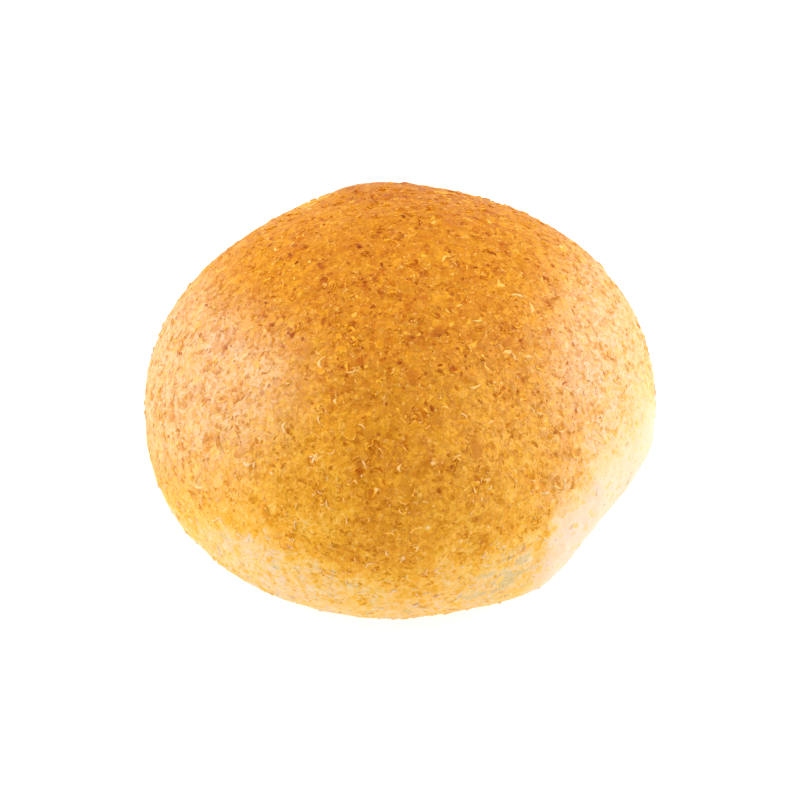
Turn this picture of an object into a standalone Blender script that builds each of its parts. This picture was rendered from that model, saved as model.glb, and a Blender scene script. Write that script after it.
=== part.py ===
"""A whole wheat roll, as baked: a round, unslit bun with bran in its crust and one pale side that
lay against its neighbour on the tray.

Metres, +Z up. The origin is the middle of the flat sole that the roll stands on. The front is -Y,
and the pale side faces the front right.
"""

import math
import random

import bmesh
import bpy
from mathutils import Matrix, Vector, noise
from mathutils.bvhtree import BVHTree

# The roll's own sizes: it is widest at its waist, well below half its height
WAIST_RADIUS = 0.0450
WAIST_HEIGHT = 0.0214
HEIGHT = 0.0575
OVAL = 0.03                          # share by which the waist is longer left to right
OVAL_TURN = math.radians(7)

# How full the curves are, from the waist up to the crown and down to the sole: 2 is an ellipse
CROWN_FULLNESS = 1.93
SIDE_FULLNESS = 3.17
SIDE_DROP = 1.16 * WAIST_HEIGHT      # the rounded side would end this far down, but the tray cuts it

# The side that lay against the next roll is flattened, leans out over the tray and never browned
CONTACT_AZIMUTH = math.radians(-30.4)
CONTACT_LEAN = math.radians(23.7)
CONTACT_DISTANCE = 0.0420            # from the middle of the waist
CONTACT_EDGE = 0.0018                # how softly it meets the round side
CONTACT_LEAST_FACING = 0.3           # cosine to the next roll below which a direction misses that side

# Dents and swellings left by shaping: azimuth and elevation in degrees, spread, and height
SHAPING_MARKS = {
    "crown, swollen behind": (106, 45, 0.26, 0.0015),
    "left shoulder, sunken": (144, 48, 0.60, -0.0009),
    "foot, drawn out in front": (-102, -44, 0.13, 0.0005),
    "pale side, hollow": (-22, -14, 0.20, -0.0007),
    "pale side, its front corner": (-58, -12, 0.16, 0.0004),
}

# Unevenness of the skin: the size of one lump, and its height
SWELL_SIZE, SWELL_HEIGHT = 0.0180, 0.00042
LUMP_SIZE, LUMP_HEIGHT = 0.0062, 0.00024
CREASE_SIZE, CREASE_HEIGHT = 0.0090, 0.00028
CREASE_FLATNESS = 3.2                # creases run round the side, this much longer than they are high
CREASE_END = 1.5 * WAIST_HEIGHT      # no creases above this height, and full ones a waist height below it

# Coarse bran that stands out of the crust
CHIP_COUNT = 104
CHIP_LENGTH = (0.0016, 0.0030)
CHIP_SLIMNESS = (0.50, 0.85)
CHIP_PROUD = (0.00028, 0.00045)      # height of its middle
CHIP_RIM_PROUD = 0.55                # height of its rim, as a share of the middle's
CHIP_RIM_SHAKE = (0.85, 1.15)        # how far out each corner of the rim lies, as a share
CHIP_ROOT = 0.0007                   # how deep it is set in the crust
CHIP_ROOT_SPREAD = 0.8               # how wide it is down there, as a share of its rim
CHIP_CORNERS = 7
LOWEST_CHIP = -22                    # degrees below the waist
CHIP_STRAY_UP = 0.07                 # radians that a chip strays from an even spiral, up or down
CHIP_STRAY_ROUND = 0.25              # and round the roll
CHIP_SEED = 11

CRUST_COLOUR = (0.72, 0.32, 0.06, 1)
CRUST_ROUGHNESS = 0.55

FACES_PER_SIDE = 24                  # of the cube that is blown up into the roll
ON_THE_TRAY = 1e-5                   # corners this near the tray lie on it
SHARPEST_SMOOTH_EDGE = math.radians(35)
MIDDLE = Vector((0, 0, WAIST_HEIGHT))


def towards(azimuth, elevation):
    """The unit vector at these angles, in radians, from the middle of the waist."""
    return Vector((
        math.cos(elevation) * math.cos(azimuth),
        math.cos(elevation) * math.sin(azimuth),
        math.sin(elevation),
    ))


def soft_least(a, b, softness):
    """The smaller of two distances, with the corner between them rounded off."""
    share = min(max(0.5 + 0.5 * (b - a) / softness, 0), 1)
    return b * (1 - share) + a * share - softness * share * (1 - share)


def round_reach(direction):
    """How far the risen dough reaches from the middle of the waist, before anything marks it."""
    across = math.hypot(direction.x, direction.y)
    azimuth = math.atan2(direction.y, direction.x)
    waist = WAIST_RADIUS * (1 + OVAL * math.cos(2 * (azimuth - OVAL_TURN)))
    if direction.z > 0:
        rise, fullness = HEIGHT - WAIST_HEIGHT, CROWN_FULLNESS
    else:
        rise, fullness = SIDE_DROP, SIDE_FULLNESS
    return ((across / waist) ** fullness + (abs(direction.z) / rise) ** fullness) ** (-1 / fullness)


def shaping(direction):
    """Height of the dents and swellings in this direction."""
    total = 0.0
    for azimuth, elevation, spread, height in SHAPING_MARKS.values():
        centre = towards(math.radians(azimuth), math.radians(elevation))
        total += height * math.exp(-2 * (1 - direction.dot(centre)) / spread ** 2)
    return total


def contact_cut(reach, direction):
    """The reach after the next roll has pressed one side flat."""
    outward = towards(CONTACT_AZIMUTH, -CONTACT_LEAN)
    facing = direction.dot(outward)
    if facing < CONTACT_LEAST_FACING:
        return reach
    return soft_least(reach, CONTACT_DISTANCE / facing, CONTACT_EDGE)


def unevenness(point):
    """Height of the skin's lumps, and of the creases round the lower side, at this point."""
    creased = Vector((point.x, point.y, point.z * CREASE_FLATNESS))
    lower_side = min(max((CREASE_END - point.z) / WAIST_HEIGHT, 0), 1)
    return (
        SWELL_HEIGHT * noise.noise(point / SWELL_SIZE)
        + LUMP_HEIGHT * noise.noise(point / LUMP_SIZE)
        + CREASE_HEIGHT * lower_side * noise.noise(creased / CREASE_SIZE)
    )


def skin_point(direction):
    """The point of the crust in this direction from the middle of the waist."""
    reach = contact_cut(round_reach(direction) + shaping(direction), direction)
    return MIDDLE + direction * (reach + unevenness(MIDDLE + direction * reach))


def roll_body():
    """The roll without its coarse bran: a fine cube blown up to the crust and cut off at the tray."""
    body = bmesh.new()
    bmesh.ops.create_cube(body, size=2)
    bmesh.ops.subdivide_edges(body, edges=body.edges[:], cuts=FACES_PER_SIDE - 1, use_grid_fill=True)
    for vertex in body.verts:
        # equal angles, not equal steps, keep the faces alike over each side of the cube
        even = Vector(math.tan(x * math.pi / 4) for x in vertex.co)
        vertex.co = skin_point(even.normalized())
    cut = bmesh.ops.bisect_plane(
        body,
        geom=body.verts[:] + body.edges[:] + body.faces[:],
        dist=ON_THE_TRAY,
        plane_co=(0, 0, 0),
        plane_no=(0, 0, -1),
        clear_outer=True,
    )
    rim = [piece for piece in cut["geom_cut"] if isinstance(piece, bmesh.types.BMEdge)]
    for vertex in {corner for edge in rim for corner in edge.verts}:
        vertex.co.z = 0
    bmesh.ops.contextual_create(body, geom=rim)
    bmesh.ops.triangulate(body, faces=body.faces[:])
    bmesh.ops.recalc_face_normals(body, faces=body.faces[:])
    return body


def bran_spots(draw):
    """Directions for the coarse bran: an even spiral from the crown down the sides, then shaken."""
    lowest = math.sin(math.radians(LOWEST_CHIP))
    golden_angle = math.pi * (3 - math.sqrt(5))
    for number in range(CHIP_COUNT):
        height = 1 - (1 - lowest) * (number + 0.5) / CHIP_COUNT
        elevation = math.asin(height) + draw.uniform(-CHIP_STRAY_UP, CHIP_STRAY_UP)
        stray = draw.uniform(-CHIP_STRAY_ROUND, CHIP_STRAY_ROUND)
        yield towards(number * golden_angle + stray, elevation)


def bran_chip(draw):
    """One flat, uneven chip of bran, its root below the surface it will be set in."""
    length = draw.uniform(*CHIP_LENGTH)
    width = length * draw.uniform(*CHIP_SLIMNESS)
    proud = draw.uniform(*CHIP_PROUD)
    chip = bmesh.new()
    rims = []
    for height, spread in ((proud * CHIP_RIM_PROUD, 1.0), (-CHIP_ROOT, CHIP_ROOT_SPREAD)):
        rims.append([
            chip.verts.new((
                length / 2 * spread * math.cos(turn),
                width / 2 * spread * math.sin(turn),
                height,
            ))
            for turn in (math.tau * corner / CHIP_CORNERS for corner in range(CHIP_CORNERS))
        ])
    upper, lower = rims
    for vertex in upper:
        vertex.co.xy *= draw.uniform(*CHIP_RIM_SHAKE)
    top = chip.verts.new((0, 0, proud))
    for corner in range(CHIP_CORNERS):
        after = (corner + 1) % CHIP_CORNERS
        chip.faces.new((upper[corner], upper[after], top))
        chip.faces.new((lower[corner], lower[after], upper[after], upper[corner]))
    chip.faces.new(reversed(lower))
    bmesh.ops.triangulate(chip, faces=chip.faces[:])
    bmesh.ops.recalc_face_normals(chip, faces=chip.faces[:])
    return chip


def set_in_crust(direction, surface, draw):
    """The placement of a chip that lies on the crust in this direction, turned at random."""
    point, normal, _, _ = surface.ray_cast(MIDDLE, direction)
    lying = normal.to_track_quat("Z", "Y").to_matrix().to_4x4()
    return Matrix.Translation(point) @ lying @ Matrix.Rotation(draw.uniform(0, math.tau), 4, "Z")


def object_from(shape, name, collection):
    mesh = bpy.data.meshes.new(name)
    shape.to_mesh(mesh)
    made = bpy.data.objects.new(name, mesh)
    collection.objects.link(made)
    return made


def crust_material():
    material = bpy.data.materials.new("whole_wheat_crust")
    material.use_nodes = True
    shader = material.node_tree.nodes["Principled BSDF"]
    shader.inputs["Base Color"].default_value = CRUST_COLOUR
    shader.inputs["Roughness"].default_value = CRUST_ROUGHNESS
    shader.inputs["Metallic"].default_value = 0
    return material


def fuse(roll, chips):
    """Joins the chips to the roll as one solid, and removes the loose ones."""
    union = roll.modifiers.new("bran", "BOOLEAN")
    union.operation = "UNION"
    union.operand_type = "COLLECTION"
    union.collection = chips
    union.solver = "EXACT"
    with bpy.context.temp_override(object=roll, active_object=roll, selected_objects=[roll]):
        bpy.ops.object.modifier_apply(modifier=union.name)
    for chip in chips.objects[:]:
        bpy.data.meshes.remove(chip.data)
    bpy.data.collections.remove(chips)


def build_roll():
    scene_collection = bpy.context.scene.collection
    body = roll_body()
    surface = BVHTree.FromBMesh(body)
    roll = object_from(body, "roll", scene_collection)
    chips = bpy.data.collections.new("bran_chips")
    scene_collection.children.link(chips)
    draw = random.Random(CHIP_SEED)
    for number, direction in enumerate(bran_spots(draw)):
        chip = object_from(bran_chip(draw), f"bran_chip_{number:03d}", chips)
        chip.matrix_world = set_in_crust(direction, surface, draw)
    bpy.context.view_layer.update()
    fuse(roll, chips)
    roll.data.materials.clear()
    roll.data.materials.append(crust_material())
    roll.data.shade_smooth()
    roll.data.set_sharp_from_angle(angle=SHARPEST_SMOOTH_EDGE)


for leftover in bpy.data.objects[:]:
    bpy.data.objects.remove(leftover)
build_roll()
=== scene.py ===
import math
import random

import bmesh
import bpy
import numpy as np
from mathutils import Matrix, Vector, noise
from mathutils.bvhtree import BVHTree


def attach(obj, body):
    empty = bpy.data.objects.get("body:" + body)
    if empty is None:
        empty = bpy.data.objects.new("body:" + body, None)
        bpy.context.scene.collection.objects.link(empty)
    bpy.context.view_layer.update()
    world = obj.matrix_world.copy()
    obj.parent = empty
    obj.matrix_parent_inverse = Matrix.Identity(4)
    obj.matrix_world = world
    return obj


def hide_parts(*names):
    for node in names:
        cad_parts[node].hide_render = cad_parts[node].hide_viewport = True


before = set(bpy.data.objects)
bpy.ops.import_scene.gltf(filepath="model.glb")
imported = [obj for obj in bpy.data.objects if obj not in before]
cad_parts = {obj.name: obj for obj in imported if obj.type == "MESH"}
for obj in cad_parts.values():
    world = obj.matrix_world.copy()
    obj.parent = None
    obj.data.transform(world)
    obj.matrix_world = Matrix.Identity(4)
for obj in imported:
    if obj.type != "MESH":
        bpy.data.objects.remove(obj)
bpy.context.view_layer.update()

# The crust is the whole skin of the roll: dough of wheat flour and bran, proved round and baked dry
# till the crown browned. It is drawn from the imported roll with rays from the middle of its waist,
# and the finer lumps, pits and blisters of the bake are then pressed into it.
MIDDLE = Vector((0, 0, 0.0214))
SKIN_STEPS = 128                     # quads along each side of the cube that the rays go through
SMOOTHING_ROUNDS = 26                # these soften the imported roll's facets and chips
CONTACT_AZIMUTH, CONTACT_LEAN = math.radians(-30.4), math.radians(23.7)
LUMPS = ((0.0042, 0.00016), (0.0020, 0.00011), (0.0011, 0.00006))     # size and height of each kind
EVEN_BELOW, LUMPY_ABOVE = 0.0002, 0.0030     # heights between which the lumps set in, above the sole
CLUMP_SIZE, CLUMPING = 0.0055, 1.6   # pits, blisters and bran gather in places this far apart
BARE_SHARE = 0.93                    # and this share of them is missing where the next roll touched
BARE_TOWARDS = (0.0350, 0.0375)      # ways towards the next roll between which they thin out
PIT_COUNT, PIT_RADIUS, PIT_DEPTH = 520, (0.00040, 0.00085), (0.00010, 0.00030)
PIT_STRETCH = (1.0, 1.7)             # length of a pit, as a share of its width
BLISTER_COUNT, BLISTER_LENGTH, BLISTER_HEIGHT = 150, (0.0012, 0.0030), (0.00010, 0.00022)
BLISTER_SLIMNESS = (0.35, 0.60)
TURN_SPREAD = 0.5                    # how far a pit or a blister strays from lying level, in radians
LOWEST_PIT, LOWEST_BLISTER, LOWEST_FLAKE = 0.006, 0.003, 0.0012
CRUST_SEED = 5


def towards(azimuth, elevation):
    """The unit vector at these angles, in radians, from the middle of the waist."""
    return np.array((
        math.cos(elevation) * math.cos(azimuth),
        math.cos(elevation) * math.sin(azimuth),
        math.sin(elevation),
    ))


def lobe(directions, azimuth, elevation, spread):
    """1 in the direction of these angles in degrees, fading to nothing over the spread in radians."""
    centre = towards(math.radians(azimuth), math.radians(elevation))
    return np.exp(-2 * (1 - directions @ centre) / spread ** 2)


def patches(directions, table):
    """What the soft patches in the table add up to in each direction."""
    return sum(strength * lobe(directions, *patch) for *patch, strength in table)


def ease(value, start, end):
    """0 before start and 1 after end, with a soft way between them."""
    share = np.clip((value - start) / (end - start), 0, 1)
    return share * share * (3 - 2 * share)


def noise_at(points, size):
    """Soft noise with lumps of this size, from about -1 to 1, at each point."""
    return np.array([noise.noise(Vector(point)) for point in points / size])


def surface_of(mesh):
    corners = [vertex.co for vertex in mesh.vertices]
    return BVHTree.FromPolygons(corners, [face.vertices for face in mesh.polygons])


def vertices_of(mesh, what="co"):
    values = np.empty(3 * len(mesh.vertices))
    mesh.vertices.foreach_get(what, values)
    return values.reshape(-1, 3)


def cast_skin(cad):
    """A fine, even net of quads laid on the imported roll."""
    packed = surface_of(cad.data)
    net = bmesh.new()
    bmesh.ops.create_cube(net, size=2)
    bmesh.ops.subdivide_edges(net, edges=net.edges[:], cuts=SKIN_STEPS - 1, use_grid_fill=True)
    for vertex in net.verts:
        direction = Vector(math.tan(x * math.pi / 4) for x in vertex.co).normalized()
        vertex.co = packed.ray_cast(MIDDLE, direction)[0] or packed.find_nearest(MIDDLE + direction)[0]
    mesh = bpy.data.meshes.new("crust")
    net.to_mesh(mesh)
    net.free()
    return mesh


def relax(points, edges, rounds):
    """The points after each has moved half way to the middle of its neighbours, round after round."""
    start, end = edges.T
    neighbours = np.bincount(edges.ravel(), minlength=len(points))
    for _ in range(rounds):
        for axis in range(3):
            values = points[:, axis]
            total = np.bincount(start, values[end], len(points))
            total += np.bincount(end, values[start], len(points))
            points[:, axis] = (values + total / neighbours) / 2
    return points


def towards_next(points):
    """How far each point lies on the way to the next roll."""
    return (points - np.array(MIDDLE)) @ towards(CONTACT_AZIMUTH, -CONTACT_LEAN)


def directions_of(points):
    """The unit vectors from the middle of the waist to the points."""
    offsets = points - np.array(MIDDLE)
    return offsets / np.linalg.norm(offsets, axis=1)[:, None]


def triangles_of(mesh):
    """The corners of each triangle, and the chance that a pit or a flake lies on it: clumped, and few
    where the next roll touched."""
    mesh.calc_loop_triangles()
    corners = np.empty(3 * len(mesh.loop_triangles), dtype=int)
    mesh.loop_triangles.foreach_get("vertices", corners)
    triangles = vertices_of(mesh)[corners].reshape(-1, 3, 3).transpose(1, 0, 2)
    centres = triangles.mean(axis=0)
    bare = ease(towards_next(centres), *BARE_TOWARDS)
    chance = np.exp(CLUMPING * noise_at(centres, CLUMP_SIZE)) * (1 - BARE_SHARE * bare)
    return triangles, chance


def random_spots(triangles, chance, count, draw, lowest):
    """Random places on the triangles above the sole: points and normals."""
    a, b, c = triangles
    across = np.cross(b - a, c - a)
    area = np.linalg.norm(across, axis=1)
    chance = chance * area * (a[:, 2] > lowest)
    chosen = draw.choice(len(area), size=count, p=chance / chance.sum())
    u, v = draw.random((2, count, 1))
    over = u + v > 1
    u, v = np.where(over, 1 - u, u), np.where(over, 1 - v, v)
    points = a[chosen] + (b - a)[chosen] * u + (c - a)[chosen] * v
    return points, across[chosen] / area[chosen, None]


def press(points, normals, spots, lengths, widths, heights, draw):
    """Pushes an oval dent or bump into the points at each spot. Returns, for each point, how far inside
    one it lies, from 0 to 1."""
    depth = np.zeros(len(points))
    inside = np.zeros(len(points))
    for spot, normal, length, width, height in zip(*spots, lengths, widths, heights):
        level = np.cross(normal, (0, 0, 1))
        turn = draw.normal(0, TURN_SPREAD)
        level = level / max(np.linalg.norm(level), 1e-6)
        along = level * math.cos(turn) + np.cross(normal, level) * math.sin(turn)
        offset = points - spot
        near = np.flatnonzero((np.abs(offset) < length).all(axis=1))
        forward = offset[near] @ along
        away = np.sqrt(np.maximum((offset[near] ** 2).sum(axis=1) - forward ** 2, 0))
        share = 1 - ease(np.hypot(forward / length * 2, away / width * 2), 0, 1)
        depth[near] += height * share
        inside[near] = np.maximum(inside[near], share)
    points += normals * depth[:, None]
    return inside


# Soft patches of the colour: uneven baking and, on the cheeks, painted sheen where the soft boxes shine.
# A row has an azimuth and an elevation in degrees, a spread in radians, and
# what the patch adds: to the height of the foot in metres, to the browning, or to the flour and painted
# sheen
FOOT_PATCHES = (
    (-125, -7, 0.36, 0.0072),
    (-66, -7, 0.33, 0.0072),
    (-92, -10, 0.28, -0.0014),
)
BROWNING_AND_SHEEN_PATCHES = (
    (100, 52, 0.65, 0.10),           # the back of the crown
    (-82, 13, 0.28, 0.08),           # the lower front
    (150, 50, 0.40, -0.05),          # behind the left shoulder
    (-112, 27, 0.26, -0.09),         # the two edges of the front
    (-68, 29, 0.26, -0.13),
    (-130, 8, 0.30, -0.10),          # above the foot on the left
    # painted sheen: the left cheek and its edge towards the front are made paler where the left soft box
    # shines
    (-168, 20, 0.55, -0.06),         # the left cheek
    (-132, 37, 0.17, -0.09),
    (-141, -8, 0.20, 0.08),          # the left end of the foot
    (-131, 5, 0.16, -0.05),
    (-92, -16, 0.25, 0.06),          # the lowest of the front
    (-59, -14, 0.20, 0.10),
    # painted shade: the rim of the left cheek is made browner, so the left soft box lights it no brighter
    (-172, 10, 0.38, 0.05),          # the rim of the left cheek
    # painted sheen: the right cheek and the patch beside it are made paler where the right soft box shines
    (-8, 22, 0.50, -0.20),           # the right cheek
    (-33, 14, 0.22, -0.07),
    (-71, 13, 0.13, 0.05),           # the lower right of the front
    (-66, 3, 0.24, -0.11),           # above the foot on the right
    (-113, 4, 0.18, -0.09),          # pale patches low on the front
    (-80, 9, 0.16, -0.06),
    (-87, 1, 0.15, -0.08),
    (123, 43, 0.10, -0.30),          # the folds behind the left shoulder
)
# The cheek patches, the patches below them and the palest patch lay a painted sheen into the colour: the
# soft boxes' highlight on the cheeks, mixed in as if it were flour
CHEEK_PATCHES = ((-148, 23, 0.42, 1), (-176, 17, 0.42, 1), (-22, 21, 0.42, 1), (8, 20, 0.42, 1))
PAINTED_SHEEN_PATCHES = (
    (-132, 36, 0.20, 0.40),          # between the left cheek and the front
    (-55, 24, 0.38, 0.16),           # between the front and the right cheek
    (-172, 39, 0.22, -0.22),         # above the left cheek
    (-144, 11, 0.20, -0.22),         # below it
)
PAINTED_SHEEN_PEAK = (-24, 26, 0.30, 0.32)     # the middle of the right cheek

# Browning of the foot, what the side and the crown add to it, and browning of the sole
FOOT_BROWN, SIDE_BROWN, CROWN_BROWN, SOLE_BROWN = 0.23, 0.42, 0.20, 0.62
FOOT_HEIGHT = 0.0120                 # where the foot ends, apart from its patches
FOOT_FADE = (-0.0040, 0.0110)        # from this far below its end to this far above, the skin browns
CROWN_FADE = (0.026, 0.056)          # and it browns further between these heights
SOLE_FADE = (0.0001, 0.0012)         # the sole's even brown ends between these heights

# The contact side begins between these azimuths, in degrees. The skin grows paler, floured and white
# there between these ways towards the next roll
CORNER_FADE = (-61, -51)
PALER_FADE, FLOURED_FADE, TOUCHING_FADE = (0.0300, 0.0375), (0.0295, 0.0345), (0.0345, 0.0400)
CONTACT_PALER, TOUCHING_WHITE = 0.20, 0.9     # browning that is missing there, and the share at the touch
CHEEK_FADE = (0.12, 1.20)            # sums of the cheek patches between which their painted sheen sets in
# flour lies thinly all over and by the contact side; on the cheeks the same share is a painted sheen
FLOUR_ALL_OVER, PAINTED_SHEEN_ON_CHEEKS, FLOUR_BY_CONTACT = 0.04, 1.05, 0.6

# Three kinds of noise, each with its stretch and size, make these borders waver by so much each
WAVERS = (((1, 1, 2), 0.010), ((1, 1, 1), 0.0032), ((1, 1, 1), 0.0013))
FOOT_WAVER = (0.0032, 0.0025, 0.0012)
CONTACT_WAVER = (0.0007, 0.0016, 0.0014)
CORNER_WAVER = (0, 3, 2)             # in degrees


def browning(points):
    """How the oven and the shaping left each point: its browning, from 0 for white dough to 1 for the
    deep crown, the flour that dulls it together with the painted sheen on the cheeks, and whether it
    lay against the next roll."""
    directions = directions_of(points)
    height = points[:, 2]
    waver = np.column_stack([noise_at(points * stretch, size) for stretch, size in WAVERS])
    foot = FOOT_HEIGHT + patches(directions, FOOT_PATCHES) + waver @ FOOT_WAVER
    brown = FOOT_BROWN + SIDE_BROWN * ease(height, foot + FOOT_FADE[0], foot + FOOT_FADE[1])
    brown += CROWN_BROWN * ease(height, *CROWN_FADE) + patches(directions, BROWNING_AND_SHEEN_PATCHES)

    azimuth = np.degrees(np.arctan2(directions[:, 1], directions[:, 0])) + waver @ CORNER_WAVER
    contact_side = ease(azimuth, *CORNER_FADE)
    way = towards_next(points) + waver @ CONTACT_WAVER
    touching = ease(way, *TOUCHING_FADE) * contact_side
    brown -= CONTACT_PALER * ease(way, *PALER_FADE) * contact_side
    brown *= 1 - touching * TOUCHING_WHITE
    sole = 1 - ease(height, *SOLE_FADE)
    brown = brown * (1 - sole) + SOLE_BROWN * sole

    flour_with_sheen = FLOUR_ALL_OVER + PAINTED_SHEEN_ON_CHEEKS * ease(patches(directions, CHEEK_PATCHES), *CHEEK_FADE)
    flour_with_sheen += FLOUR_BY_CONTACT * ease(way, *FLOURED_FADE) * contact_side
    flour_with_sheen = np.clip(flour_with_sheen + patches(directions, PAINTED_SHEEN_PATCHES), 0, 1)
    flour_with_sheen += patches(directions, [PAINTED_SHEEN_PEAK])
    return np.clip(brown, 0, 1), flour_with_sheen * (1 - sole), touching * (1 - sole)


# The skin near the corner of the contact side was drawn thin, in nearly level streaks
DRAWN_AZIMUTH, DRAWN_ELEVATION, DRAWN_SPREAD = -67, -8, 0.24
STREAK_SIZE, STREAK_STRETCH, STREAK_FADE = 0.0034, (1, 1, 2.5), (-0.30, 0.45)


def drawn_skin(points):
    """How thin and grey the skin was drawn at each point."""
    streaks = ease(noise_at(points * STREAK_STRETCH, STREAK_SIZE), *STREAK_FADE)
    return lobe(directions_of(points), DRAWN_AZIMUTH, DRAWN_ELEVATION, DRAWN_SPREAD) * streaks


def add_values(mesh, **values):
    """Stores one number for each point of the mesh under each name."""
    for name, numbers in values.items():
        mesh.attributes.new(name, "FLOAT", "POINT").data.foreach_set("value", numbers)


class Value:
    """One output of a finish's nodes. Arithmetic on it adds Math nodes."""

    def __init__(self, finish, socket):
        self.finish = finish
        self.socket = socket

    def math(self, operation, *numbers):
        return self.finish.node("ShaderNodeMath", {"operation": operation}, dict(enumerate(numbers)))

    def __add__(self, other):
        return self.math("ADD", self, other)

    __radd__ = __add__

    def __sub__(self, other):
        return self.math("SUBTRACT", self, other)

    def __rsub__(self, other):
        return self.math("SUBTRACT", other, self)

    def __mul__(self, other):
        return self.math("MULTIPLY", self, other)

    __rmul__ = __mul__

    def __truediv__(self, other):
        return self.math("DIVIDE", self, other)

    def __abs__(self):
        return self.math("ABSOLUTE", self)


class Finish:
    """A material with a Principled shader, and the nodes that paint it."""

    def __init__(self, name, **uniform):
        self.material = bpy.data.materials.new(name)
        self.material.use_nodes = True
        self.tree = self.material.node_tree
        self.shader = self.tree.nodes["Principled BSDF"]
        for socket, value in uniform.items():
            self.shader.inputs[socket.replace("_", " ")].default_value = value
        self.place = self.node("ShaderNodeTexCoord", {}, {}, "Object")

    def node(self, kind, settings, sockets, output=0):
        """Adds a node, and returns one of its outputs."""
        node = self.tree.nodes.new(kind)
        for name, value in settings.items():
            if name == "stops":
                set_stops(node.color_ramp, value)
            else:
                setattr(node, name, value)
        for name, value in sockets.items():
            if isinstance(value, Value):
                self.tree.links.new(value.socket, node.inputs[name])
            else:
                node.inputs[name].default_value = value
        return Value(self, node.outputs[output])

    def paint(self, **links):
        """Links values to the shader's own sockets."""
        for name, value in links.items():
            self.tree.links.new(value.socket, self.shader.inputs[name.replace("_", " ")])

    def stored(self, name):
        return self.node("ShaderNodeAttribute", {"attribute_name": name}, {}, "Fac")

    def noise(self, size, detail=2.0, place=None, output="Fac"):
        """Soft noise with lumps of this size in metres, from 0 to 1."""
        sockets = {"Vector": place or self.place, "Scale": 1 / size, "Detail": detail}
        return self.node("ShaderNodeTexNoise", {}, sockets, output)

    def between(self, value, start, end, low=0.0, high=1.0):
        """Soft way from low to high as the value goes from start to end."""
        settings = {"interpolation_type": "SMOOTHSTEP"}
        sockets = dict(enumerate((value, start, end, low, high)))
        return self.node("ShaderNodeMapRange", settings, sockets)

    def ramp(self, value, stops):
        """The colour at this value on a scale of stops that starts at 0."""
        end = stops[-1][0]
        stops = [(place / end, colour) for place, colour in stops]
        return self.node("ShaderNodeValToRGB", {"stops": stops}, {0: value / end}, "Color")

    def mix(self, share, a, b, blend="MIX"):
        """Colour a, with a share of colour b."""
        settings = {"data_type": "RGBA", "blend_type": blend}
        return self.node("ShaderNodeMix", settings, {0: share, 6: a, 7: b}, 2)

    def vector(self, operation, sockets):
        return self.node("ShaderNodeVectorMath", {"operation": operation}, sockets)

    def shaken(self, size, distance):
        """The place on the object, pushed about at random."""
        around = self.noise(size, 1.0, output="Color")
        push = self.vector("SUBTRACT", {0: around, 1: (0.5, 0.5, 0.5)})
        push = self.vector("SCALE", {0: push, "Scale": distance})
        return self.vector("ADD", {0: self.place, 1: push})

    def cells(self, size, place):
        """A mosaic of cells about this wide: how far the nearest edge is, as a share of the size, and
        three random numbers for each cell."""
        sockets = {"Vector": place, "Scale": 1 / size, "Randomness": 1.0}
        edge = self.node("ShaderNodeTexVoronoi", {"feature": "DISTANCE_TO_EDGE"}, sockets, "Distance")
        tint = self.node("ShaderNodeTexVoronoi", {}, sockets, "Color")
        channels = (self.node("ShaderNodeSeparateColor", {}, {0: tint}, number) for number in range(3))
        return edge, *channels

    def uneven_bake(self):
        """The patches that baked deeper and the ones that baked less, from about -0.25 to 0.25."""
        broad = self.noise(PATCH_SIZE, 3.0) - 0.5
        mottle = self.noise(MOTTLE_SIZE, 3.0, self.vector("MULTIPLY", {0: self.place, 1: MOTTLE_STRETCH}))
        return broad * 0.24 + (mottle - 0.5) * 0.30

    def baked_colour(self, tone):
        """The colour of skin or bran baked to this tone, a little yellower in places."""
        golden = self.between(self.noise(GOLDEN_SIZE), *GOLDEN_CUT)
        return self.mix(golden, self.ramp(tone, BAKE_STOPS), (*GOLDEN_TINT, 1), "MULTIPLY")

    def bump(self, height, distance):
        """Relief on the shading, this many metres high."""
        sockets = {"Height": height, "Distance": distance, "Strength": 1.0}
        self.paint(Normal=self.node("ShaderNodeBump", {}, sockets, "Normal"))


def set_stops(ramp, stops):
    """Gives a colour ramp these places and colours."""
    while len(ramp.elements) < len(stops):
        ramp.elements.new(1)
    for element, (place, colour) in zip(ramp.elements, stops):
        element.position = place
        element.color = (*colour, 1)


# Colours of the bake by its browning: pale dough, straw, gold, chestnut, and dark bran past 1
BAKE_STOPS = (
    (0.00, (0.76, 0.62, 0.52)),
    (0.18, (0.86, 0.585, 0.295)),
    (0.36, (0.91, 0.50, 0.095)),
    (0.52, (0.85, 0.39, 0.020)),
    (0.68, (0.73, 0.284, 0.008)),
    (0.84, (0.595, 0.212, 0.004)),
    (1.00, (0.54, 0.158, 0.002)),
    (1.20, (0.39, 0.082, 0.001)),
    (1.45, (0.21, 0.032, 0.001)),
)
# The first colour is that of flour, and also of the painted sheen that the soft boxes leave on the cheeks
FLOUR_AND_SHEEN_COLOUR, CURLED_SKIN = (0.825, 0.545, 0.335), (1.00, 0.61, 0.16)
BLISTERED_SKIN = (0.63, 0.50, 0.25)
GOLDEN_TINT = (1.0, 1.045, 1.0)
SHEEN = 0.08

# Sizes in metres of what the bake left in the colour
PATCH_SIZE, MOTTLE_SIZE, MOTTLE_STRETCH = 0.0075, 0.0022, (1, 1, 0.5)
GOLDEN_SIZE, GRAIN_SIZE, SMUDGE_SIZE, STAIN_SIZE = 0.0050, 0.00045, 0.0026, 0.0016
CELL_SIZE, CELL_SHAKE = 0.0014, (0.0009, 0.0022)
FINE_CELL_SIZE, FINE_CELL_SHAKE = 0.0006, (0.0004, 0.0008)
CURL_SIZE, CURL_SHAKE, CURL_GAPS = 0.0016, (0.0007, 0.0010), 0.0010
CRUST_RELIEF = 0.00024

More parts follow.
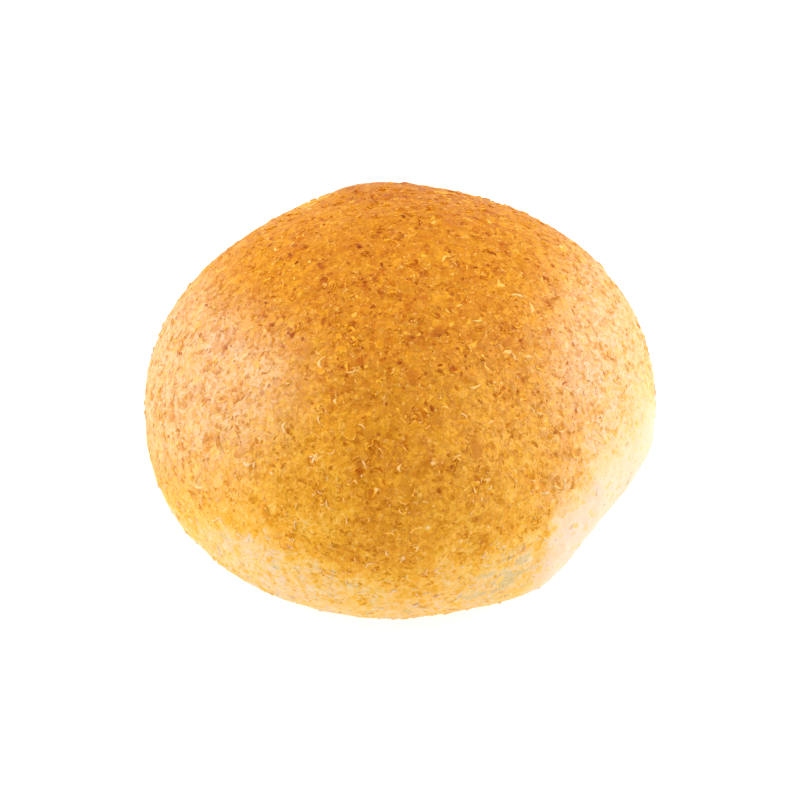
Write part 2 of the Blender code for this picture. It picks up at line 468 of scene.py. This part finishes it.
# Cuts through the noise and the cells' random numbers, from nothing to full: they set how many there are
SMUDGE_CUT, STAIN_CUT, GOLDEN_CUT = (0.56, 0.74), (0.56, 0.68), (0.42, 0.62)
FLECK_CUT, BROAD_FLECK_CUT = (0.90, 0.96), (0.84, 0.92)
CURL_CUT, CURL_GAP_CUT, FINE_CURL_CUT = (0.034, 0.010), (0.54, 0.64), (0.6, 0.85)

# What each adds to the browning
GRAIN_TONE, SMUDGE_TONE, CELL_TONE, FINE_CELL_TONE = 0.36, 0.22, 0.16, 0.22
# what the pits add is painted shade
FLECK_TONE, BROAD_FLECK_TONE, PIT_SHADE, STAIN_TONE = 0.30, 0.14, 0.36, 0.28
BROWN_ENOUGH = (0.30, 0.68)          # browning between which flecks and bran come to show in full
CALM_BY_CONTACT = 0.85               # share of all this that is missing where the next roll touched


def crust_finish():
    finish = Finish("baked_crust", Specular_IOR_Level=SHEEN)
    baked, floured, touching = (finish.stored(name) for name in ("browning", "floured", "touching"))
    calm = 1 - touching * CALM_BY_CONTACT

    # what makes the bake uneven: patches, grain, smudges, and cells that each browned to their own shade
    uneven = finish.uneven_bake()
    grain = finish.noise(GRAIN_SIZE) - 0.5
    smudge = finish.between(finish.noise(SMUDGE_SIZE, 3.0), *SMUDGE_CUT)
    edge, chance, level, shade = finish.cells(CELL_SIZE, finish.shaken(*CELL_SHAKE))
    fine_edge, fine_chance, fine_level, fine_shade = finish.cells(
        FINE_CELL_SIZE, finish.shaken(*FINE_CELL_SHAKE)
    )
    tone = uneven + grain * GRAIN_TONE + smudge * SMUDGE_TONE
    tone = tone + (shade - 0.5) * CELL_TONE + (fine_shade - 0.5) * FINE_CELL_TONE

    # dark flecks of bran under the skin, painted shade in the pits, and the stains on the contact side
    fleck = finish.between(fine_chance, *FLECK_CUT) * finish.between(fine_edge, 0.05, 0.20)
    broad = finish.between(chance, *BROAD_FLECK_CUT) * finish.between(edge, 0.02, 0.12)
    pit = finish.between(finish.stored("pit"), 0.25, 0.95)
    tone = (tone + fleck * FLECK_TONE + broad * BROAD_FLECK_TONE + pit * PIT_SHADE) * calm
    tone = tone * finish.between(baked, *BROWN_ENOUGH, 0.72, 1)
    stain = finish.between(finish.noise(STAIN_SIZE), *STAIN_CUT) * touching
    colour = finish.baked_colour(baked + tone + stain * STAIN_TONE)

    # flour and a painted sheen lie on what stands out, and less on what browned deep
    dome = finish.between(edge, 0, 0.24) * (level - 0.5)
    fine_dome = finish.between(fine_edge, 0, 0.25) * (fine_level - 0.5)
    raised = dome * 0.5 + fine_dome * 1.2 + grain * 1.4 + uneven * 1.5 - smudge * 0.4
    dust_and_sheen = floured * (0.26 + finish.between(raised, -0.30, 0.36) * 0.64)
    dust_and_sheen = dust_and_sheen * finish.between(tone, 0.25, 0.0, 0.5, 1)
    colour = finish.mix(dust_and_sheen, colour, (*FLOUR_AND_SHEEN_COLOUR, 1))

    # dry skin that lifted in thin curls, and blisters, which stayed grey where the skin is pale
    wave = finish.noise(CURL_SIZE, 2.0, finish.shaken(*CURL_SHAKE))
    curl = finish.between(abs(wave - 0.5), *CURL_CUT)
    curl = curl * finish.between(finish.noise(CURL_GAPS, 1.0), *CURL_GAP_CUT)
    fine_curl = finish.between(fine_edge, 0.12, 0.03) * finish.between(fine_level, *FINE_CURL_CUT)
    lifted = curl * 0.5 + fine_curl * 0.06
    colour = finish.mix(lifted * calm, colour, (*CURLED_SKIN, 1))
    blistered = finish.between(finish.stored("blister"), 0.4, 0.9, 0, 0.7)
    blistered = blistered * finish.between(baked, 0.5, 0.3)
    colour = finish.mix(blistered, colour, (*BLISTERED_SKIN, 1))

    finish.paint(Base_Color=colour, Roughness=0.6 - baked * 0.10 + grain * 0.15)
    height = grain * 0.6 + uneven + lifted * 0.2 - fleck * 0.2 + dome * 0.7 + fine_dome * 0.5
    finish.bump(height * calm, CRUST_RELIEF)
    return finish.material


def build_crust(cad):
    mesh = cast_skin(cad)
    edges = np.empty(2 * len(mesh.edges), dtype=int)
    mesh.edges.foreach_get("vertices", edges)
    points = relax(vertices_of(mesh), edges.reshape(-1, 2), SMOOTHING_ROUNDS)
    mesh.vertices.foreach_set("co", points.ravel())
    mesh.update()
    normals = vertices_of(mesh, "normal")
    draw = np.random.default_rng(CRUST_SEED)

    off_sole = ease(points[:, 2], EVEN_BELOW, LUMPY_ABOVE)
    triangles, chance = triangles_of(mesh)
    relief = sum(height * noise_at(points, size) for size, height in LUMPS)
    points += normals * (relief * off_sole)[:, None]
    pit_radii = draw.uniform(*PIT_RADIUS, PIT_COUNT)
    pit = press(
        points, normals, random_spots(triangles, chance, PIT_COUNT, draw, LOWEST_PIT),
        2 * pit_radii * draw.uniform(*PIT_STRETCH, PIT_COUNT), 2 * pit_radii,
        -draw.uniform(*PIT_DEPTH, PIT_COUNT), draw,
    )
    blister_lengths = draw.uniform(*BLISTER_LENGTH, BLISTER_COUNT)
    blister = press(
        points, normals, random_spots(triangles, chance, BLISTER_COUNT, draw, LOWEST_BLISTER),
        2 * blister_lengths, 2 * blister_lengths * draw.uniform(*BLISTER_SLIMNESS, BLISTER_COUNT),
        draw.uniform(*BLISTER_HEIGHT, BLISTER_COUNT), draw,
    )
    points[:, 2] = np.maximum(points[:, 2], 0)
    mesh.vertices.foreach_set("co", points.ravel())
    mesh.update()
    brown, flour_with_sheen, touching = browning(points)
    blister = np.clip(blister + drawn_skin(points), 0, 1)
    add_values(mesh, browning=brown, floured=flour_with_sheen, pit=pit, blister=blister, touching=touching)
    mesh.shade_smooth()
    mesh.materials.append(crust_finish())
    crust = bpy.data.objects.new("crust", mesh)
    bpy.context.scene.collection.objects.link(crust)
    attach(crust, "root")
    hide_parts("roll")
    return crust


crust = build_crust(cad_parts["roll"])

# Bran: the brown hull of the wheat grain, milled to flakes and kneaded into the dough. The coarsest
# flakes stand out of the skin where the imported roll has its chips, and smaller ones lie all over it.
CHIP_COUNT, CHIP_SEED, LOWEST_CHIP = 104, 11, -22
CHIP_LENGTH, CHIP_SLIMNESS, CHIP_PROUD = (0.0016, 0.0030), (0.50, 0.85), (0.00028, 0.00045)
CHIP_CORNERS, CHIP_RIM_SHAKE = 7, (0.85, 1.15)
CHIP_STRAY_UP, CHIP_STRAY_ROUND = 0.07, 0.25
SETTLED = 0.45                       # how much of a coarse chip's height stands above the fine skin


def chip_spots():
    """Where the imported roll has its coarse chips, and how each one is made there."""
    draw = random.Random(CHIP_SEED)
    lowest = math.sin(math.radians(LOWEST_CHIP))
    golden_angle = math.pi * (3 - math.sqrt(5))
    for number in range(CHIP_COUNT):
        height = 1 - (1 - lowest) * (number + 0.5) / CHIP_COUNT
        elevation = math.asin(height) + draw.uniform(-CHIP_STRAY_UP, CHIP_STRAY_UP)
        azimuth = number * golden_angle + draw.uniform(-CHIP_STRAY_ROUND, CHIP_STRAY_ROUND)
        length = draw.uniform(*CHIP_LENGTH)
        width = length * draw.uniform(*CHIP_SLIMNESS)
        proud = draw.uniform(*CHIP_PROUD)
        for _ in range(CHIP_CORNERS):
            draw.uniform(*CHIP_RIM_SHAKE)
        yield towards(azimuth, elevation), length, width, proud, draw.uniform(0, math.tau)


def coarse_spots(skin):
    """The same chips, set on the fine skin: points, normals, lengths, widths, heights and turns."""
    rows = []
    for direction, length, width, proud, turn in chip_spots():
        point, normal, _, _ = skin.ray_cast(MIDDLE, Vector(direction))
        rows.append((point, normal, length, width, proud * SETTLED, turn))
    return [np.array(column) for column in zip(*rows)]


def scattered_spots(count, lengths, slimness, proud, draw):
    """Flakes spread at random over the skin: points, normals, lengths, widths, heights and turns."""
    points, normals = random_spots(skin_triangles, skin_chance, count, draw, LOWEST_FLAKE)
    sizes = lengths[0] + (lengths[1] - lengths[0]) * draw.random(count) ** 2
    widths = sizes * draw.uniform(*slimness, count)
    return points, normals, sizes, widths, draw.uniform(*proud, count), draw.uniform(0, math.tau, count)


LOOK_UP = 0.0015                     # how far above a flake's place its ray starts down to the skin
LOOK_DOWN = 3 * LOOK_UP
SLANT = (0.31, 0.22, 0.92)           # a flake's turn in the skin is counted from across this direction
EDGE_WAVES = ((2, 0.9), (3, 0.7))    # waves round a flake's edge: how many, and how strong
EDGE_JAGS = 0.8
EDGE_REACH = 2.4                     # what the waves and jags of the edge add up to at most
JAGGED_LEAN = 4                      # how much more a flake's height is broken than its edge
RIM_RISE, LEAST_RIM = 0.2, 0.35      # how far the raised rim goes round, and its least strength
UV_REACH, UV_UNDER = 0.42, 0.02      # of a flake's cell: half its width, and the place of its underside
SHARPEST_SMOOTH_EDGE = math.radians(50)


def flake_faces(count, full_rings, corners):
    """The faces of so many flakes: quads between the rings, then fans over the middle and underneath."""
    faces = []
    each = full_rings * corners + 2
    for first in range(0, count * each, each):
        middle, under = first + each - 2, first + each - 1
        inmost = first + (full_rings - 1) * corners
        for corner in range(corners):
            after = (corner + 1) % corners
            for outer in range(first, inmost, corners):
                inner = outer + corners
                faces.append((outer + corner, outer + after, inner + after, inner + corner))
            faces.append((inmost + corner, inmost + after, middle))
            faces.append((first + after, first + corner, under))
    return faces


def skin_under(place, normal):
    """The point of the skin right under or over this place, and the face it lies on."""
    start = Vector(place + normal * LOOK_UP)
    hit, _, face, _ = skin.ray_cast(start, Vector(-normal), LOOK_DOWN)
    if hit is None:
        hit, _, face, _ = skin.find_nearest(Vector(place))
    return np.array(hit), face


def flake_mesh(name, spots, rings, corners, ragged, tilt, bend, draw):
    """Lays one uneven round flake on the skin at each spot. The rings go from its edge to its middle,
    each with its share of the size, its share of the height, and how much of a rim it is."""
    points, normals, lengths, widths, prouds, turns = spots
    count = len(points)
    bends = draw.uniform(-bend, bend, count)
    level = np.cross(normals, SLANT)
    level /= np.linalg.norm(level, axis=1)[:, None]
    along = level * np.cos(turns)[:, None] + np.cross(normals, level) * np.sin(turns)[:, None]
    aside = np.cross(normals, along)
    angles = math.tau * np.arange(corners) / corners
    swings = draw.uniform(0, math.tau, (len(EDGE_WAVES), count, 1))
    uneven = np.zeros((count, corners))
    for (times, strength), swing in zip(EDGE_WAVES, swings):
        uneven += strength * np.cos(times * angles + swing)
    uneven += draw.uniform(-EDGE_JAGS, EDGE_JAGS, (count, corners))
    edge = 1 + ragged * uneven
    high_side = draw.uniform(0, math.tau, count)
    facing = np.cos(angles[None, :] - high_side[:, None])
    lean = 1 + tilt * facing - JAGGED_LEAN * ragged * draw.random((count, corners))
    rim_height = np.clip(RIM_RISE + facing, 0, 1) * draw.uniform(LEAST_RIM, 1, (count, corners))

    vertices, rims, tints, under_faces, places_uv = [], [], [], [], []
    cells = math.ceil(math.sqrt(count))
    for number in range(count):
        cell = np.array((number % cells, number // cells))
        tint = draw.random()
        for share, height, rim in rings:
            for corner in range(corners if share else 1):
                across = np.array((math.cos(angles[corner]), math.sin(angles[corner])))
                flat = share * edge[number, corner] * across
                bow = bends[number] * flat[0] ** 2 * lengths[number] / 2
                place = (
                    points[number] + along[number] * flat[0] * lengths[number] / 2
                    + aside[number] * (flat[1] * widths[number] / 2 + bow)
                )
                hit, face = skin_under(place, normals[number])
                lifted = height * prouds[number] * (lean[number, corner] if share else 1)
                vertices.append(hit + normals[number] * lifted)
                rims.append(rim * (rim_height[number, corner] if share else 1))
                tints.append(tint)
                under_faces.append(face)
                places_uv.append((cell + 0.5 + UV_REACH * flat / (1 + EDGE_REACH * ragged)) / cells)
        vertices.append(points[number] - normals[number] * prouds[number])
        rims.append(0)
        tints.append(tint)
        under_faces.append(face)
        places_uv.append((cell + UV_UNDER) / cells)

    mesh = bpy.data.meshes.new(name)
    mesh.from_pydata(vertices, [], flake_faces(count, sum(ring[0] > 0 for ring in rings), corners))
    add_values(
        mesh, rim=rims, tint=tints,
        browning=face_browning[under_faces], floured=face_flour_and_sheen[under_faces],
    )
    unwrapped = mesh.uv_layers.new(name="OFBake").data
    for loop in mesh.loops:
        unwrapped[loop.index].uv = places_uv[loop.vertex_index]
    mesh.shade_smooth()
    mesh.set_sharp_from_angle(angle=SHARPEST_SMOOTH_EDGE)
    return mesh


BRAN_GRAIN_SIZE, BRAN_RELIEF = 0.00035, 0.00012
PALEST_SHARE = 0.34                  # the palest flake's browning, as a share of the skin's round it


def bran_finish(name, deeper, spread, rim_share, dust_and_sheen_share):
    """Bran browned along with the crust: this much deeper than the skin round it, with a spread from
    flake to flake, a paler raised rim and a dusting of flour with the skin's painted sheen."""
    finish = Finish(name, Specular_IOR_Level=SHEEN, Roughness=0.6)
    grain = finish.noise(BRAN_GRAIN_SIZE) - 0.5
    baked = finish.stored("browning")
    change = deeper + grain * 0.4 + (finish.stored("tint") - 0.5) * spread
    change = change - finish.stored("rim") * rim_share
    tone = baked + finish.uneven_bake() + change * finish.between(baked, *BROWN_ENOUGH, 0.68, 1)
    tone = tone.math("MAXIMUM", tone, baked * PALEST_SHARE)
    flour_with_sheen = finish.stored("floured") * finish.between(grain, -0.2, 0.2, 0.7 * dust_and_sheen_share, 1.3 * dust_and_sheen_share)
    finish.paint(Base_Color=finish.mix(flour_with_sheen, finish.baked_colour(tone), (*FLOUR_AND_SHEEN_COLOUR, 1)))
    finish.bump(grain, BRAN_RELIEF)
    return finish.material


def lay_bran(name, spots, rings, corners, ragged, tilt, bend, finish, draw):
    mesh = flake_mesh(name, spots, rings, corners, ragged, tilt, bend, draw)
    mesh.materials.append(finish)
    piece = bpy.data.objects.new(name, mesh)
    bpy.context.scene.collection.objects.link(piece)
    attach(piece, "root")


skin = surface_of(crust.data)
skin_triangles, skin_chance = triangles_of(crust.data)
first_corners = [face.vertices[0] for face in crust.data.polygons]
face_browning, face_flour_and_sheen, _ = (values[first_corners] for values in browning(vertices_of(crust.data)))
BRAN_SEED = 21
draw = np.random.default_rng(BRAN_SEED)

# Rings of each kind of flake, from its edge to its middle
FLAT_FLAKE = ((1.0, -0.5, 0.3), (0.92, 0.7, 1.0), (0.70, 0.8, 0.1), (0.35, 0.9, 0), (0, 1.0, 0))
CUPPED_FLAKE = ((1.12, -0.6, 0.4), (0.98, 0.9, 1.0), (0.72, 0.6, 0.9), (0.48, 0.05, 0), (0, 0.0, 0))
SLIVER = ((1.0, -0.6, 0.4), (0.72, 0.75, 0.3), (0, 1.0, 0))

# Coarse hull that stands out of the skin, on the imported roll's own chips
lay_bran(
    "coarse_bran", coarse_spots(skin),
    FLAT_FLAKE, corners=13, ragged=0.14, tilt=0.45, bend=0.3, draw=draw,
    finish=bran_finish("coarse_bran", deeper=0.10, spread=0.25, rim_share=0.50, dust_and_sheen_share=0.5),
)
# Broad flakes that lie nearly level with the skin
lay_bran(
    "flat_bran",
    scattered_spots(380, (0.0008, 0.0020), slimness=(0.35, 0.80), proud=(0.00004, 0.00009), draw=draw),
    FLAT_FLAKE, corners=13, ragged=0.17, tilt=0.5, bend=0.5, draw=draw,
    finish=bran_finish("flat_bran", deeper=0.10, spread=0.40, rim_share=0.50, dust_and_sheen_share=0.28),
)
# Flakes that curled up at one side as they dried; they are darker than the flat bran, partly as painted
# shade in the hollow under the lifted rim
lay_bran(
    "cupped_flakes",
    scattered_spots(800, (0.0009, 0.0024), slimness=(0.35, 0.80), proud=(0.00010, 0.00024), draw=draw),
    CUPPED_FLAKE, corners=14, ragged=0.20, tilt=0.8, bend=0.6, draw=draw,
    finish=bran_finish("cupped_flakes", deeper=0.26, spread=0.30, rim_share=0.85, dust_and_sheen_share=0.18),
)
# Fine dark slivers of hull
lay_bran(
    "dark_slivers",
    scattered_spots(1200, (0.0003, 0.0015), slimness=(0.3, 0.8), proud=(0.00004, 0.00012), draw=draw),
    SLIVER, corners=9, ragged=0.20, tilt=0.4, bend=0.5, draw=draw,
    finish=bran_finish("dark_slivers", deeper=0.33, spread=0.40, rim_share=0.50, dust_and_sheen_share=0.12),
)
# Crumbs of the white of the grain, which hardly browned
lay_bran(
    "pale_crumbs",
    scattered_spots(800, (0.0003, 0.0011), slimness=(0.3, 0.9), proud=(0.00006, 0.00016), draw=draw),
    SLIVER, corners=8, ragged=0.22, tilt=0.4, bend=0.4, draw=draw,
    finish=bran_finish("pale_crumbs", deeper=-0.34, spread=0.30, rim_share=0.10, dust_and_sheen_share=0.4),
)
# Shreds of dry skin that curled off the crust
lay_bran(
    "curled_skin",
    scattered_spots(800, (0.0007, 0.0024), slimness=(0.14, 0.36), proud=(0.00010, 0.00022), draw=draw),
    SLIVER, corners=16, ragged=0.24, tilt=0.3, bend=0.7, draw=draw,
    finish=bran_finish("curled_skin", deeper=-0.36, spread=0.36, rim_share=0.10, dust_and_sheen_share=0.35),
)

# The table is a wide, plain, white surface that the roll stands on. It glows like a light table, so
# it comes out white and hardly shows a shadow. It isn't part of the roll.
TABLE_SIZE = 6.0
TABLE_DROP = 0.0001                  # how far it lies below the sole, so that the two never share a plane
TABLE_GLOW = 0.8


def build_table():
    mesh = bpy.data.meshes.new("table")
    side = TABLE_SIZE / 2
    corners = [(x, y, -TABLE_DROP) for x, y in ((-side, -side), (side, -side), (side, side), (-side, side))]
    mesh.from_pydata(corners, [], [(0, 1, 2, 3)])
    finish = Finish(
        "white_table", Base_Color=(0.5, 0.5, 0.5, 1), Roughness=0.9, Specular_IOR_Level=0.2,
        Emission_Color=(1, 1, 1, 1), Emission_Strength=TABLE_GLOW,
    )
    mesh.materials.append(finish.material)
    table = bpy.data.objects.new("table", mesh)
    bpy.context.scene.collection.objects.link(table)


build_table()

# The studio: two tall soft boxes stand to the left and right of the roll and a weak even light
# fills in from all round, so the cheeks shine and the front between them stays deep in colour.
BOX_SIZE = (1.9, 0.62)
BOX_PLACE = (0.72, 0.12, 0.31)
BOX_RADIANCE = 3.1
FILL_STRENGTH = 0.60


def soft_box(name, side):
    light = bpy.data.lights.new(name, "AREA")
    light.shape = "RECTANGLE"
    light.size, light.size_y = BOX_SIZE
    light.energy = BOX_RADIANCE * math.pi * BOX_SIZE[0] * BOX_SIZE[1]
    box = bpy.data.objects.new(name, light)
    box.location = Vector(BOX_PLACE) * Vector((side, 1, 1))
    aim = Vector((0, 0, MIDDLE.z)) - box.location
    box.rotation_euler = aim.to_track_quat("-Z", "Z").to_euler()
    box.visible_camera = False
    bpy.context.scene.collection.objects.link(box)


for name, side in (("left_soft_box", -1), ("right_soft_box", 1)):
    soft_box(name, side)
world = bpy.data.worlds.new("studio")
world.use_nodes = True
world.node_tree.nodes["Background"].inputs["Color"].default_value = (1, 1, 1, 1)
world.node_tree.nodes["Background"].inputs["Strength"].default_value = FILL_STRENGTH
bpy.context.scene.world = world
bpy.context.scene.view_settings.view_transform = "Standard"

# The camera looks down on the roll from the front with a long lens, as the photo was taken.
CAMERA_ELEVATION = math.radians(40)
CAMERA_DISTANCE = 0.430
LENS, SENSOR = 106.9, 36             # in millimetres
FRAME_SHIFT = (-0.0006, -0.0024)
NEAREST, FURTHEST = 0.01, 20

lens = bpy.data.cameras.new("camera")
lens.lens = LENS
lens.sensor_width = SENSOR
lens.shift_x, lens.shift_y = FRAME_SHIFT
lens.clip_start, lens.clip_end = NEAREST, FURTHEST
camera = bpy.data.objects.new("camera", lens)
back = Vector((0, -math.cos(CAMERA_ELEVATION), math.sin(CAMERA_ELEVATION)))
camera.location = MIDDLE + back * CAMERA_DISTANCE
camera.rotation_euler = (-back).to_track_quat("-Z", "Y").to_euler()
bpy.context.scene.collection.objects.link(camera)
bpy.context.scene.camera = camera
